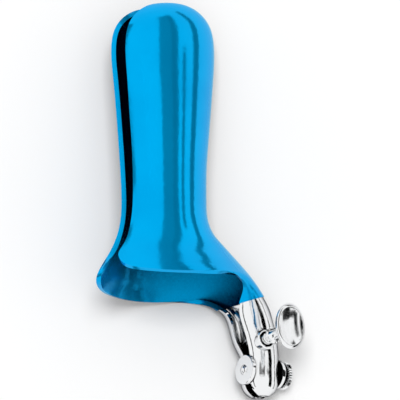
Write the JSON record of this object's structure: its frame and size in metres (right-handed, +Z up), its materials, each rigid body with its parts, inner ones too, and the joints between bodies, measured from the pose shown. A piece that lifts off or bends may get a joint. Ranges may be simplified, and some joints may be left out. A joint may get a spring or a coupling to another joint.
{
  "type": "bivalve speculum",
  "caption": "Side-handled two-valve speculum with insulated blades, a pin hinge with a knurled lock nut, and a thumb screw that spreads the blades.",
  "frame": {"origin": "middle of the underside, where the instrument lies on a flat surface", "axes": "+Y from the mouth to the tips of the blades, +X to the handle side, +Z up as it lies on its rear valve"},
  "size_m": [0.0732, 0.1348, 0.0419],
  "materials": {
    "steel": "polished",
    "coat": "gloss"
  },
  "bodies": {
    "rear": {"rear_valve": "steel", "rear_coating": "coat", "left_rear_knuckle": "steel", "right_rear_knuckle": "steel", "shoe_pad": "steel", "hinge_pin": "steel", "left_hinge_disc": "steel", "right_hinge_disc": "steel"},
    "front": {"front_valve": "steel", "front_coating": "coat", "front_knuckle": "steel", "screw_boss": "steel"},
    "shoe": {"screw_shoe": "steel"},
    "thumb_screw": {"thumb_screw": "steel", "thumb_plate": "steel"},
    "nut_washer": {"lock_washer": "steel"},
    "lock_nut": {"lock_nut": "steel"}
  },
  "joints": [
    {"name": "blade_opening", "type": "hinge", "parent": "rear", "child": "front", "pos_m": [0.0244, -0.05833, 0.00877], "axis": [0.8991, -0.0428, -0.4356], "range_deg": [-3, 16]},
    {"name": "screw_advance", "type": "slide", "parent": "front", "child": "shoe", "axis": [-0.4334, -0.2256, -0.8725], "range_m": [-0.00048, 0.00256]},
    {"name": "thumb_screw_turn", "type": "hinge", "parent": "shoe", "child": "thumb_screw", "pos_m": [0.02531, -0.04751, 0.01463], "axis": [-0.4334, -0.2256, -0.8725], "range_deg": [-173.04, 922.87]},
    {"name": "lock_nut_turn", "type": "hinge", "parent": "nut_washer", "child": "lock_nut", "pos_m": [0.03402, -0.05879, 0.0041], "axis": [0.8991, -0.0428, -0.4356], "range_deg": [0, 541]},
    {"name": "nut_backoff", "type": "slide", "parent": "rear", "child": "nut_washer", "axis": [0.8991, -0.0428, -0.4356], "range_m": [0, 0.00105]}
  ],
  "couplings": [
    {"joint": "screw_advance", "follows": "blade_opening", "m_per_rad": 0.009},
    {"joint": "thumb_screw_turn", "follows": "blade_opening", "ratio": 56.549},
    {"joint": "lock_nut_turn", "follows": "nut_backoff", "rad_per_m": 8976}
  ]
}
